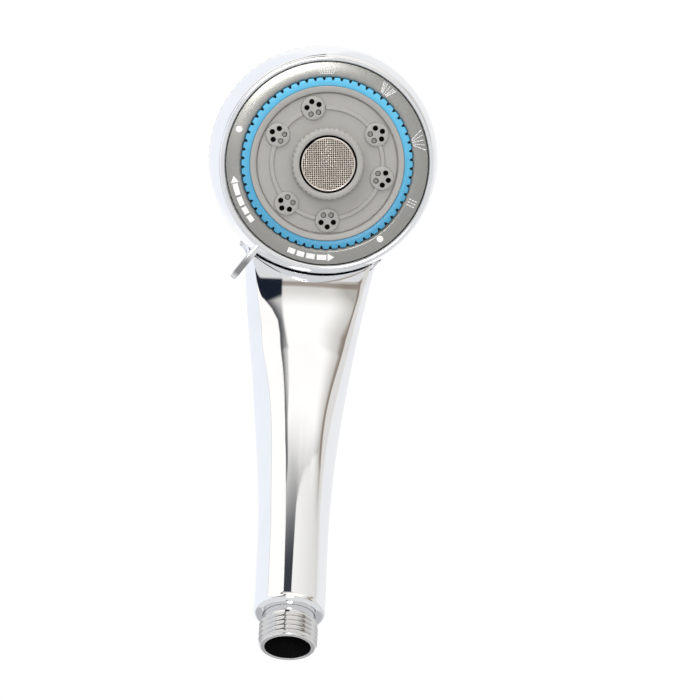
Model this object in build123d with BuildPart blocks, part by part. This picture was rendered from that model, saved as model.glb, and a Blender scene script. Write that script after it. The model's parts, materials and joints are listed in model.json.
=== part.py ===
from build123d import *
import math
import os

# A handheld shower head with a selector lever. Sizes in millimetres, angles in degrees.
# Origin: centre of the hose thread's end face. +Z runs up the handle, -Y is the side that sprays.

# Hose connection: a parallel half-inch pipe thread, made here as its plain outer cylinder
thread_radius = 20.955 / 2
thread_length = 9.6
thread_chamfer = 0.9
relief_radius = 9.3
relief_length = 5.2
inlet_bore_radius = 8.2
inlet_bore_depth = 21.0
inlet_mouth_depth = 12.0
insert_bore_radius = 7.9
regulator_height = 4.4
regulator_plate = 3.0
regulator_hole_circle = 5.2
regulator_hole_radius = 0.9
regulator_holes = 8
strainer_rim = 0.8
strainer_height = 3.4
strainer_wall = 0.4
spigot_length = 20.0
stop_thickness = 3.0

# Handle and neck
handle_radius = 12.9
handle_length = 165.0
handle_wall = 2.3
end_round = 1.2
grip_length = 30.0
neck_flare_width = 15.6
flare_power = 1.6
neck_front_depth = 11.0
neck_shoulder_angle = 65.0
round_length = 52.0
panel_length = 58.0
uncored_length = 54.7
front_bend_length = 62.0
front_bend_radius = 70.0
back_bend_length = 75.0
back_bend_radius = 111.0

# Head: the face leans forward from the handle
face_tilt = 39.4
face_forward = 53.9
face_drop = 7.4
shell_inset = 0.2
shell_rim_depth = 18.2
shell_side_height = 1.8
dome_height = 22.0
shoulder_radius = 14.0
boss_radius = 2.3
boss_inset = 4.2
boss_angles = (35, 145, 215, 325)

# Selector: grip ring, lever and valve disc turn together between the shell and the spray face.
# The ring's rear radius is the head's size: every ring and circle of the head is set in from it.
lever_angle = 237.4
click_step = 37.0
grip_rear_radius = 42.4
grip_flare_width = 2.7
grip_front_depth = 1.6
grip_rear_depth = 17.8
grip_wall = 1.3
grip_band_height = 3.6
flange_thickness = 2.5
flange_width = 4.0
notch_count = 72
notch_radius = 1.0
notch_depth = 0.7
lever_length = 13.7
lever_thickness = 2.3
lever_depth = 3.9
lever_round = 1.7
disc_thickness = 2.6
disc_seat_wall = 1.2

# Spray face
dial_width = 5.8
dial_thickness = 2.4
dial_bevel = 1.0
bezel_width = 1.9
bezel_lip = 0.7
bezel_skirt = 0.6
bezel_height = 1.2
jet_width = 2.45
jet_count = 60
jet_notch_radius = 0.75
plate_lip_width = 2.2
plate_lip_height = 0.6
plate_field = -0.5
rib_inset = 0.5
rib_width = 2.3
cluster_margin = 0.85
cluster_radius = 4.4
cluster_height = 0.9
nozzle_radius = 1.0
nozzle_circle = 2.4
blind_depth = 1.2
cluster_pairs = (14.0, 134.0, 254.0)
cluster_spread = 45.7
collar_share = 0.4656
collar_height = 4.3
collar_wall = 2.6
collar_skirt = 0.7
scallop_count = 40
scallop_radius = 0.55
cup_gap = 0.4
cup_wall = 0.85
mesh_thickness = 0.5
core_hole_radius = 0.8

# Waterways behind the face
chamber_depth = 7.5
floor_thickness = 2.0
centre_wall = 1.4
middle_wall = 0.6
land_width = 1.05
channel_overlap = 0.3
port_margin = 0.63
duct_width = 5.4
duct_wall = 1.4
post_radius = 6.0
key_radius = 4.6
manifold_margin = 1.6
manifold_thickness = 6.2
plenum_margin = 5.8
plenum_inner_radius = 9.0
plenum_depth = 3.0
tube_radius = 4.5
tube_wall = 1.3
tube_bend_share = 0.56
passage_gap = 0.5
socket_radius = 6.6
socket_sink = 1.0
socket_inset = 5.0
socket_end = 6.0
socket_insert = 12.0
seal_thickness = 0.8
hub_seal_thickness = 0.6
gasket_width = 1.1
gasket_depth = 1.0
screw_radius = 1.5
screw_head_radius = 2.4
screw_head_height = 1.8
click_inset = 4.0
ball_radius = 2.0
ball_travel = 0.6
spring_length = 6.4
spring_turns = 4
wire = 0.5

# Clearances
press = 0.05
running = 0.05
seal_gap = 0.2
turning_gap = 0.4
rim_gap = 0.7

# Frames: the handle stands on XY, and the head has a plane on the dial with its axis out of the face
handle_end = thread_length + relief_length
handle_top = handle_end + handle_length
face_height = handle_top - face_drop
lean = math.radians(face_tilt)
normal = Vector(0, -math.cos(lean), -math.sin(lean))
up_face = Vector(0, -math.sin(lean), math.cos(lean))
face_centre = (0, -face_forward, face_height)
face = Plane(origin=face_centre, x_dir=(1, 0, 0), z_dir=normal)
turning = Plane(origin=face_centre, x_dir=(1, 0, 0), z_dir=up_face * -1)
face_axis = Axis(face_centre, normal)

spigot_top = handle_end + spigot_length
ledge_top = spigot_top + handle_wall
ledge_radius = relief_radius - tube_wall

# Radii of the head, from its rim inwards
shell_radius = grip_rear_radius - shell_inset
grip_front_radius = grip_rear_radius - grip_flare_width
disc_radius = grip_rear_radius - 2 * grip_wall - disc_seat_wall
flange_inner_radius = disc_radius - flange_width
manifold_radius = flange_inner_radius - manifold_margin
socket_start = manifold_radius - socket_inset
boss_circle = manifold_radius - boss_inset
click_radius = manifold_radius - click_inset
plenum_outer_radius = boss_circle - plenum_margin
lever_reach = grip_front_radius + lever_length
bezel_radius = grip_front_radius - turning_gap
dial_radius = bezel_radius - bezel_width
dial_inner_radius = dial_radius - dial_width
channel_outer_radius = dial_inner_radius + channel_overlap
jet_outer_radius = dial_inner_radius - rim_gap
jet_inner_radius = jet_outer_radius - jet_width
plate_radius = jet_inner_radius - 2 * press
land_radius = plate_radius + land_width
plate_land = plate_radius - plate_lip_width
boss_pitch_radius = plate_land - cluster_margin - cluster_radius
rib_radius = boss_pitch_radius - rib_inset
collar_radius = plate_radius * collar_share
cup_radius = collar_radius - collar_wall - cup_gap
well_radius = collar_radius - collar_wall + collar_skirt + press
centre_outer = well_radius + centre_wall
cluster_wall = boss_pitch_radius - nozzle_circle * math.cos(math.radians(36)) + nozzle_radius + press
port_circle = (centre_outer + cluster_wall) / 2
port_radius = (cluster_wall - centre_outer) / 2 - port_margin

# Depths along the face axis, measured from the dial: negative lies behind it
chamber_front = -dial_thickness
chamber_back = chamber_front - chamber_depth
floor_front = chamber_back + floor_thickness
disc_front = chamber_back - turning_gap
disc_back = disc_front - disc_thickness
manifold_front = disc_back - turning_gap
manifold_back = manifold_front - manifold_thickness
plenum_floor = manifold_front - plenum_depth
shell_rim = -shell_rim_depth
grip_front = -grip_front_depth
grip_rear = -grip_rear_depth
socket_axis = manifold_back - socket_radius + socket_sink


def turned(points, mode=Mode.ADD):
    """Turn an outline of (radius, depth) points about the face axis, in the current part."""
    with BuildSketch(turning) as outline:
        with BuildLine():
            Polyline(*points, close=True)
        make_face()
    revolve(outline.sketch, axis=face_axis, mode=mode)


def ring(inner, outer, back, front, mode=Mode.ADD):
    """A plain ring, or a disc where inner is 0, about the face axis."""
    turned([(inner, back), (outer, back), (outer, front), (inner, front)], mode)


def drilled(places, radius, back, front, mode=Mode.SUBTRACT):
    """Round holes, or pins, along the face axis at places on the face."""
    with BuildSketch(face.offset(back)) as holes:
        with Locations(*places):
            Circle(radius)
    extrude(holes.sketch, amount=front - back, mode=mode)


def polar(radius, angle):
    """A place on the face, from its radius and its angle as seen from the front."""
    return (radius * math.cos(math.radians(angle)), radius * math.sin(math.radians(angle)))


def face_plane(angle, depth):
    """A plane along the face at this depth, with its x axis out towards angle."""
    outwards = face.x_dir * math.cos(math.radians(angle)) + up_face * math.sin(math.radians(angle))
    return Plane(origin=face.from_local_coords((0, 0, depth)), x_dir=outwards, z_dir=normal)


def upright(points, mode=Mode.ADD):
    """Turn an outline of (radius, height) points about the handle's axis, in the current part."""
    with BuildSketch(Plane.XZ) as outline:
        with BuildLine():
            Polyline(*points, close=True)
        make_face()
    revolve(outline.sketch, axis=Axis.Z, mode=mode)


def finish(part, name):
    """Name a finished piece and write its file."""
    part.label = name
    export_step(part, f"parts/{name}.step")


os.makedirs("parts", exist_ok=True)


# Handle sections: round near the hose, with a broad, gently curved front towards the head


def bend(height, length, radius):
    """How far a profile that bends forward over the handle's last length has moved at this height."""
    past = max(0, height - handle_length + length)
    return radius - math.sqrt(radius**2 - past**2)


def handle_section(height):
    """The handle's cross-section at a height above its lower end."""
    share = (height - grip_length) / (handle_length - grip_length)
    flat = min(1, max(0, (height - round_length) / panel_length))
    flat = flat * flat * (3 - 2 * flat)
    half_width = handle_radius + neck_flare_width * share**flare_power
    front = -handle_radius - bend(height, front_bend_length, front_bend_radius)
    back = handle_radius - bend(height, back_bend_length, back_bend_radius)
    depth = half_width * (1 - flat) + neck_front_depth * flat
    widest = front + depth
    turn = math.radians(neck_shoulder_angle)
    slant = (1 - math.sin(turn)) / math.cos(turn)
    shoulder = (depth - half_width * slant) / (1 - slant)
    middle = half_width - shoulder
    front_centre = widest + middle * math.tan(turn)
    front_radius = front_centre - front
    front_sweep = 180 - 2 * neck_shoulder_angle
    with BuildSketch(Plane.XY.offset(handle_end + height)) as outline:
        with BuildLine():
            CenterArc((-middle, widest), shoulder, 180, neck_shoulder_angle)
            CenterArc((0, front_centre), front_radius, 180 + neck_shoulder_angle, front_sweep)
            CenterArc((middle, widest), shoulder, -neck_shoulder_angle, neck_shoulder_angle)
            EllipticalCenterArc((0, widest), half_width, back - widest, arc_size=180)
        make_face()
    return outline.sketch


stations = [grip_length + (handle_length - grip_length) * step / 8 for step in range(9)]
cored_top = handle_top - uncored_length
corner_run = (face_forward + normal.Y * -socket_axis) / math.sin(lean)
tube_corner = face.from_local_coords((0, -corner_run, socket_axis))
tube_top = face.from_local_coords((0, socket_insert - socket_start, socket_axis))
tube_run = corner_run - socket_start + socket_insert
tube_bend_radius = tube_bend_share * tube_run / math.tan(lean / 2)

with BuildPart() as passage:
    with BuildLine() as passage_line:
        FilletPolyline((0, 0, ledge_top), tube_corner, tube_top, radius=tube_bend_radius)
    with BuildSketch(Plane.XY.offset(ledge_top)):
        Circle(tube_radius + passage_gap)
    sweep(path=passage_line.line)

# The head's back is a shallow cap that runs tangent into a rounded shoulder and a short straight side
side = shell_rim - shell_side_height
shoulder_centre = shell_radius - shoulder_radius
cap_rise = dome_height - shoulder_radius
cap_centre = (shoulder_centre**2 - cap_rise**2) / (2 * cap_rise)
cap_radius = dome_height + cap_centre
shoulder_angle = math.degrees(math.atan2(cap_centre, shoulder_centre))


def dome(wall, mode):
    """The head's back turned about the face axis, drawn in by wall."""
    with BuildSketch(turning) as outline:
        with BuildLine():
            Polyline(
                (0, side - dome_height + wall), (0, shell_rim),
                (shell_radius - wall, shell_rim), (shell_radius - wall, side),
            )
            CenterArc((shoulder_centre, side), shoulder_radius - wall, 0, -shoulder_angle)
            CenterArc((0, side + cap_centre), cap_radius - wall, -shoulder_angle, shoulder_angle - 90)
        make_face()
    revolve(outline.sketch, axis=face_axis, mode=mode)


inner_radius = handle_radius - handle_wall
grip_top = handle_end + grip_length
boss_places = [polar(boss_circle, angle) for angle in boss_angles]
boss_foot = side + cap_centre - math.sqrt((cap_radius - handle_wall / 4)**2 - (boss_circle + boss_radius)**2)

with BuildPart() as handle_shell:
    loft([handle_section(height) for height in stations])
    dome(0, Mode.ADD)
    ring(0, grip_rear_radius + rim_gap, shell_rim, face_forward, Mode.SUBTRACT)
    dome(handle_wall, Mode.SUBTRACT)
    add(passage.part, mode=Mode.SUBTRACT)
    upright(
        [(0, grip_top), (inner_radius, grip_top), (inner_radius, cored_top), (0, cored_top)],
        Mode.SUBTRACT,
    )
    with BuildSketch(Plane.XZ) as grip:
        with BuildLine():
            Polyline(
                (handle_radius, handle_end + end_round), (handle_radius, grip_top), (inner_radius, grip_top),
                (inner_radius, ledge_top), (ledge_radius, ledge_top), (ledge_radius, spigot_top),
                (relief_radius + press, spigot_top), (relief_radius + press, handle_end),
                (handle_radius - end_round, handle_end),
            )
            CenterArc((handle_radius - end_round, handle_end + end_round), end_round, -90, 90)
        make_face()
    revolve(grip.sketch, axis=Axis.Z)
    drilled(boss_places, boss_radius, boss_foot, manifold_back, Mode.ADD)
    drilled(boss_places, screw_radius, boss_foot + handle_wall, manifold_back)
finish(handle_shell.part, "handle_shell")


# Hose end: the nipple is pressed into the handle and stops under the handle's inner ledge

stop_top = inlet_bore_depth + stop_thickness
tube_bore = tube_radius - tube_wall
socket_bore = tube_radius + press
groove_radius = socket_bore + 2 * seal_thickness + press
groove_half = seal_thickness + press
lower_seal = (stop_top + spigot_top) / 2

with BuildPart() as inlet_nipple:
    upright([
        (inlet_bore_radius, 0), (thread_radius - thread_chamfer, 0), (thread_radius, thread_chamfer),
        (thread_radius, thread_length), (relief_radius, thread_length), (relief_radius, spigot_top),
        (socket_bore, spigot_top), (socket_bore, lower_seal + groove_half),
        (groove_radius, lower_seal + groove_half), (groove_radius, lower_seal - groove_half),
        (socket_bore, lower_seal - groove_half), (socket_bore, stop_top), (tube_bore, stop_top),
        (tube_bore, inlet_bore_depth), (insert_bore_radius, inlet_bore_depth),
        (insert_bore_radius, inlet_mouth_depth), (inlet_bore_radius, inlet_mouth_depth),
    ])
finish(inlet_nipple.part, "inlet_nipple")

with BuildPart(Plane.XY.offset(lower_seal)) as tube_seal_lower:
    Torus(socket_bore + seal_thickness, seal_thickness)
finish(tube_seal_lower.part, "tube_seal_lower")

# The regulator seats on the nipple's inner shoulder, with the strainer cup in front of it

insert_radius = insert_bore_radius - press
regulator_foot = inlet_bore_depth - regulator_height
regulator_face = inlet_bore_depth - regulator_plate
regulator_rim = insert_radius - strainer_rim
regulator_boss = regulator_hole_circle - 2 * seal_thickness

with BuildPart() as flow_regulator:
    upright([
        (0, inlet_bore_depth), (insert_radius, inlet_bore_depth), (insert_radius, regulator_foot),
        (regulator_rim, regulator_foot), (regulator_rim, regulator_face),
        (regulator_boss, regulator_face), (regulator_boss, regulator_foot), (0, regulator_foot),
    ])
    with BuildSketch(Plane.XY.offset(regulator_face)):
        with PolarLocations(regulator_hole_circle, regulator_holes):
            Circle(regulator_hole_radius)
    extrude(amount=regulator_plate, mode=Mode.SUBTRACT)
finish(flow_regulator.part, "flow_regulator")

with BuildPart(Plane.XY.offset(regulator_face - seal_thickness)) as regulator_ring:
    Torus(regulator_boss + seal_thickness + press, seal_thickness)
finish(regulator_ring.part, "regulator_ring")

with BuildPart() as inlet_strainer:
    strainer_top = regulator_foot - press
    cup_mouth = insert_radius - 2 * strainer_rim
    cup_floor = cup_mouth - strainer_height
    upright([
        (0, strainer_top - strainer_height), (cup_floor, strainer_top - strainer_height),
        (cup_mouth, strainer_top - strainer_rim), (insert_radius, strainer_top - strainer_rim),
        (insert_radius, strainer_top), (cup_mouth, strainer_top),
        (cup_floor, strainer_top - strainer_height + strainer_wall),
        (0, strainer_top - strainer_height + strainer_wall),
    ])
finish(inlet_strainer.part, "inlet_strainer")

# Water tube: straight up the handle, then one easy bend along the back of the face

socket_plane = Plane(
    origin=face.from_local_coords((0, -socket_start, socket_axis)), x_dir=(1, 0, 0), z_dir=up_face
)
with BuildPart() as water_tube:
    with BuildLine() as tube_line:
        FilletPolyline((0, 0, stop_top + press), tube_corner, tube_top, radius=tube_bend_radius)
    with BuildSketch(Plane.XY.offset(stop_top + press)):
        Circle(tube_radius)
        Circle(tube_bore, mode=Mode.SUBTRACT)
    sweep(path=tube_line.line)
finish(water_tube.part, "water_tube")

upper_seal = socket_insert / 2

with BuildPart(socket_plane.offset(upper_seal)) as tube_seal_upper:
    Torus(socket_bore + seal_thickness, seal_thickness)
finish(tube_seal_upper.part, "tube_seal_upper")

# Manifold: the fixed plate behind the selector, with the hub that carries everything in front of it

face_seal_radius = plenum_outer_radius + 2 * seal_thickness
face_seal_depth = manifold_front + seal_gap - seal_thickness
hub_seal_depth = (disc_front + disc_back) / 2
hub_seal_radius = post_radius - hub_seal_thickness - press
head_recess = screw_head_height + seal_gap
click_place = polar(click_radius, 90)
ball_depth = disc_back - turning_gap + press - ball_radius
pocket_floor = ball_depth - ball_radius - spring_length
pocket_radius = ball_radius + 2 * press

with BuildPart() as manifold:
    ring(0, manifold_radius, manifold_back, manifold_front)
    ring(plenum_inner_radius, plenum_outer_radius, plenum_floor, manifold_front, Mode.SUBTRACT)
    ring(
        face_seal_radius - groove_half, face_seal_radius + groove_half,
        face_seal_depth - groove_half, manifold_front, Mode.SUBTRACT,
    )
    ring(0, post_radius, manifold_front, chamber_back)
    ring(
        hub_seal_radius - hub_seal_thickness - press, post_radius + press,
        hub_seal_depth - hub_seal_thickness - press, hub_seal_depth + hub_seal_thickness + press,
        Mode.SUBTRACT,
    )
    with BuildSketch(face.offset(chamber_back)):
        RegularPolygon(key_radius, 6)
    extrude(amount=floor_thickness - seal_gap)
    drilled(
        [click_place], pocket_radius + 2 * press + tube_wall,
        pocket_floor - tube_wall, manifold_back, Mode.ADD,
    )
    drilled([click_place], pocket_radius, pocket_floor, manifold_front)
    drilled(boss_places, screw_radius + press, manifold_back, manifold_front)
    drilled(boss_places, screw_head_radius + press, manifold_front - head_recess, manifold_front)
    with BuildSketch(socket_plane):
        Circle(socket_radius)
    extrude(amount=socket_start - socket_end)
    with BuildSketch(socket_plane):
        Circle(socket_bore)
    extrude(amount=socket_insert + press, mode=Mode.SUBTRACT)
    with BuildSketch(socket_plane.offset(upper_seal - groove_half)):
        Circle(groove_radius)
    extrude(amount=2 * groove_half, mode=Mode.SUBTRACT)
    with BuildSketch(socket_plane):
        Circle(tube_bore)
    passage = plenum_inner_radius + tube_bore
    extrude(amount=socket_start - passage, mode=Mode.SUBTRACT)
    drilled([(0, -passage)], tube_bore, socket_axis, manifold_front)
    drilled([(0, 0)], screw_radius, plenum_floor, floor_front)
finish(manifold.part, "manifold")

with BuildPart() as manifold_screws:
    drilled(boss_places, screw_head_radius, manifold_front - head_recess, manifold_front - seal_gap, Mode.ADD)
    drilled(
        boss_places, screw_radius - press,
        boss_foot + handle_wall + press, manifold_front - head_recess, Mode.ADD,
    )
finish(manifold_screws.part, "manifold_screws")

with BuildPart(face.offset(face_seal_depth)) as manifold_seal:
    Torus(face_seal_radius, seal_thickness)
finish(manifold_seal.part, "manifold_seal")

with BuildPart(face.offset(hub_seal_depth)) as hub_seal:
    Torus(hub_seal_radius, hub_seal_thickness)
finish(hub_seal.part, "hub_seal")

# Click: a sprung ball that drops into a dimple of the valve disc at each setting

with BuildPart(face.offset(ball_depth)) as click_ball:
    with Locations(click_place):
        Sphere(ball_radius)
finish(click_ball.part, "click_ball")

with BuildPart() as click_spring:
    spring_radius = ball_radius - wire
    spring_rise = spring_length - wire - 4 * press
    spring_foot = face.from_local_coords((*click_place, pocket_floor + wire / 2 + 2 * press))
    with BuildLine() as coil:
        Helix(spring_rise / spring_turns, spring_rise, spring_radius, spring_foot, normal)
    with BuildSketch(Plane(origin=coil.line @ 0, z_dir=coil.line % 0)):
        Rectangle(wire, wire)
    sweep(path=coil.line, is_frenet=True)
finish(click_spring.part, "click_spring")

# Selector: the grip ring, its lever and the valve disc that the ring carries round

lever_plane = face_plane(lever_angle, 0)
lever_side = Plane(origin=face_centre, x_dir=lever_plane.x_dir, z_dir=lever_plane.y_dir * -1)
lever_root = grip_front_radius - grip_wall + press
lever_back = grip_front - lever_depth
valve_angle = lever_angle + 180
fastener_circle = (flange_inner_radius + disc_radius) / 2
fastener_places = [polar(fastener_circle, lever_angle + 45 + 90 * turn) for turn in range(4)]
fastener_radius = screw_radius / 2
fastener_head = fastener_radius * 2
fastener_recess = disc_thickness / 2

with BuildPart() as grip_ring:
    seat = disc_radius + press
    turned([
        (grip_front_radius - grip_wall, grip_front), (grip_front_radius - turning_gap, grip_front),
        (grip_front_radius, grip_front - turning_gap), (grip_rear_radius, grip_rear + grip_band_height),
        (grip_rear_radius, grip_rear), (grip_rear_radius - 2 * grip_wall, grip_rear),
        (grip_rear_radius - 2 * grip_wall, disc_back - flange_thickness),
        (flange_inner_radius, disc_back - flange_thickness), (flange_inner_radius, disc_back),
        (seat, disc_back), (seat, disc_front),
    ])
    with BuildSketch(face.offset(grip_rear)):
        with PolarLocations(grip_rear_radius + notch_radius - notch_depth, notch_count):
            Circle(notch_radius)
    extrude(amount=grip_band_height, mode=Mode.SUBTRACT)
    with BuildSketch(face_plane(lever_angle, lever_back - press)):
        with Locations((grip_front_radius, 0)):
            Rectangle(4 * grip_wall, lever_thickness + 2 * press)
    extrude(amount=lever_depth + 2 * press, mode=Mode.SUBTRACT)
    drilled(fastener_places, fastener_radius, disc_back - flange_thickness + turning_gap, disc_back)
finish(grip_ring.part, "grip_ring")

with BuildPart() as lever:
    with BuildSketch(lever_side):
        with BuildLine():
            Polyline(
                (lever_root, lever_back), (lever_reach, lever_back), (lever_reach, grip_front),
                (lever_root, grip_front), close=True,
            )
        make_face()
    extrude(amount=lever_thickness / 2, both=True)
    lever_tip = Axis(face_centre, lever_plane.x_dir)
    tip_edges = lever.edges().filter_by(Axis(face_centre, lever_plane.y_dir)).sort_by(lever_tip)[-2:]
    fillet(tip_edges, lever_round)
finish(lever.part, "lever")

with BuildPart() as valve_disc:
    ring(post_radius + running, disc_radius, disc_back, disc_front)
    drilled([polar(port_circle, valve_angle)], port_radius, disc_back, disc_front)
    dimples = [polar(click_radius, 90 + click_step * stop) for stop in range(-2, 3)]
    drilled(dimples, ball_radius - 2 * press, disc_back, disc_back + ball_travel + turning_gap)
    drilled(fastener_places, fastener_radius + press, disc_back, disc_front)
    drilled(fastener_places, fastener_head + press, disc_front - fastener_recess, disc_front)
finish(valve_disc.part, "valve_disc")

with BuildPart() as valve_screws:
    drilled(fastener_places, fastener_head, disc_front - fastener_recess, disc_front - seal_gap, Mode.ADD)
    drilled(
        fastener_places, fastener_radius - press, disc_back - flange_thickness + turning_gap + press,
        disc_front - fastener_recess, Mode.ADD,
    )
finish(valve_screws.part, "valve_screws")

# Chamber: ring channels for each spray, fed through four ports from behind

wall_top = chamber_front
duct_roof = chamber_front - duct_wall
port_angles = [valve_angle + click_step * stop for stop in range(-2, 2)]
port_places = [polar(port_circle, angle) for angle in port_angles]
duct_targets = [
    well_radius - centre_wall,
    port_circle + port_radius,
    cluster_wall + duct_width / 2,
    (land_radius + channel_outer_radius) / 2,
]

with BuildPart() as chamber_body:
    ring(0, dial_radius, chamber_back, floor_front)
    ring(channel_outer_radius, dial_radius, floor_front, wall_top)
    ring(plate_land, land_radius, floor_front, wall_top)
    ring(cluster_wall, cluster_wall + middle_wall, floor_front, wall_top)
    ring(well_radius, centre_outer, floor_front, wall_top)
    for angle, target in zip(port_angles, duct_targets):
        if target != duct_targets[1]:
            end = min(max(target, cluster_wall + middle_wall), plate_land + press)
            with BuildSketch(face_plane(angle, floor_front)):
                with Locations(((well_radius + centre_wall / 2 + end) / 2, 0)):
                    Rectangle(end - well_radius - centre_wall / 2, duct_width + 2 * duct_wall)
            extrude(amount=wall_top - floor_front)
    for angle, target in zip(port_angles, duct_targets):
        with BuildSketch(face_plane(angle, floor_front)):
            with Locations(((port_circle + target) / 2, 0)):
                Rectangle(abs(target - port_circle), duct_width)
            with Locations((port_circle, 0)):
                Circle(port_radius)
        extrude(amount=duct_roof - floor_front, mode=Mode.SUBTRACT)
    drilled(port_places, port_radius, chamber_back, floor_front)
    drilled(port_places, port_radius + gasket_width + press, chamber_back, chamber_back + gasket_depth)
    with BuildSketch(face.offset(chamber_back)):
        RegularPolygon(key_radius + press, 6)
    extrude(amount=floor_thickness, mode=Mode.SUBTRACT)
finish(chamber_body.part, "chamber_body")

with BuildPart() as port_gaskets:
    gasket_front = chamber_back + gasket_depth
    drilled(port_places, port_radius + gasket_width, chamber_back - seal_gap, gasket_front, Mode.ADD)
    drilled(port_places, port_radius + press, chamber_back - seal_gap, gasket_front)
finish(port_gaskets.part, "port_gaskets")

with BuildPart() as hub_screw:
    ring(0, key_radius + 2 * press + seal_thickness, floor_front, floor_front + screw_head_height)
    ring(0, screw_radius - press, plenum_floor + seal_gap, floor_front)
finish(hub_screw.part, "hub_screw")

# Spray face: dial, bezel, jet ring, nozzle plate and the aerator in the middle

with BuildPart() as dial_ring:
    edge_break = dial_bevel / 4
    turned([
        (dial_inner_radius, chamber_front), (dial_radius, chamber_front), (dial_radius, -edge_break),
        (dial_radius - edge_break, 0), (dial_inner_radius + dial_bevel, 0),
        (dial_inner_radius, -dial_bevel / 2),
    ])
finish(dial_ring.part, "dial_ring")

with BuildPart() as bezel:
    seat = dial_radius + press
    underside = grip_front + turning_gap
    turned([
        (seat, chamber_front - 2 * bezel_height), (seat + bezel_skirt, chamber_front - 2 * bezel_height),
        (seat + bezel_skirt, underside), (bezel_radius, underside), (bezel_radius, bezel_lip / 2),
        (bezel_radius - bezel_lip / 2, bezel_lip), (seat + bezel_lip / 2, bezel_lip),
        (seat, bezel_lip / 2),
    ])
finish(bezel.part, "bezel")

with BuildPart() as jet_ring:
    jet_front = plate_lip_height / 2
    edge_break = jet_front
    turned([
        (jet_inner_radius, chamber_front), (jet_outer_radius, chamber_front),
        (jet_outer_radius, jet_front - edge_break), (jet_outer_radius - edge_break, jet_front),
        (jet_inner_radius, jet_front),
    ])
    with BuildSketch(face.offset(chamber_front)):
        with PolarLocations(jet_outer_radius + jet_notch_radius / 3, jet_count):
            Circle(jet_notch_radius)
    extrude(amount=jet_front - chamber_front, mode=Mode.SUBTRACT)
finish(jet_ring.part, "jet_ring")

cluster_angles = [pair + side * cluster_spread / 2 for pair in cluster_pairs for side in (-1, 1)]
cluster_places = [polar(boss_pitch_radius, angle) for angle in cluster_angles]


def nozzle_places(turns):
    """The nozzles of every cluster at these turns from the way out of the centre."""
    places = []
    for angle, (x, y) in zip(cluster_angles, cluster_places):
        for turn in turns:
            step = polar(nozzle_circle, angle + turn)
            places.append((x + step[0], y + step[1]))
    return places


with BuildPart() as nozzle_plate:
    cluster_front = plate_field + cluster_height
    ring(well_radius, plate_radius, chamber_front, plate_field)
    ring(plate_land, plate_radius, plate_field, plate_lip_height)
    ring(
        rib_radius - rib_width / 2, rib_radius + rib_width / 2,
        plate_field, plate_field + cluster_height / 2,
    )
    drilled(cluster_places, cluster_radius, plate_field, cluster_front, Mode.ADD)
    drilled(nozzle_places((0, 72, -72)), nozzle_radius, chamber_front, cluster_front)
    drilled(nozzle_places((144, -144)), nozzle_radius, cluster_front - blind_depth, cluster_front)
finish(nozzle_plate.part, "nozzle_plate")

collar_bore = collar_radius - collar_wall
lip_top = floor_front + screw_head_height + seal_gap
skirt_foot = lip_top - collar_skirt
core_shoulder = plate_field + collar_skirt
mesh_radius = cup_radius - cup_wall
mesh_front = collar_height - turning_gap
mesh_back = mesh_front - mesh_thickness

with BuildPart() as aerator_collar:
    edge_break = collar_skirt
    turned([
        (mesh_radius, skirt_foot), (collar_bore + collar_skirt, skirt_foot),
        (collar_bore + collar_skirt, plate_field), (collar_radius, plate_field),
        (collar_radius, collar_height - edge_break), (collar_radius - edge_break, collar_height),
        (collar_bore, collar_height), (collar_bore, lip_top), (mesh_radius, lip_top),
    ])
    with BuildSketch(face.offset(plate_field)):
        with PolarLocations(collar_radius + scallop_radius / 2, scallop_count):
            Circle(scallop_radius)
    extrude(amount=collar_height - plate_field, mode=Mode.SUBTRACT)
finish(aerator_collar.part, "aerator_collar")

with BuildPart() as aerator_core:
    turned([
        (0, lip_top), (collar_bore - press, lip_top), (collar_bore - press, core_shoulder),
        (mesh_radius - press, core_shoulder), (mesh_radius - press, mesh_back), (0, mesh_back),
    ])
    core_holes = [(0, 0)]
    core_holes += [polar(mesh_radius / 3, 60 * turn) for turn in range(6)]
    core_holes += [polar(mesh_radius * 2 / 3, 30 * turn) for turn in range(12)]
    drilled(core_holes, core_hole_radius, lip_top, mesh_back)
finish(aerator_core.part, "aerator_core")

with BuildPart() as aerator_cup:
    ring(mesh_radius, cup_radius, core_shoulder, collar_height)
finish(aerator_cup.part, "aerator_cup")

with BuildPart() as mesh_screen:
    ring(0, mesh_radius - press, mesh_back, mesh_front)
finish(mesh_screen.part, "mesh_screen")
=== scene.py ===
import json
import math

import bmesh
import bpy
from mathutils import Matrix, Vector


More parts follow.
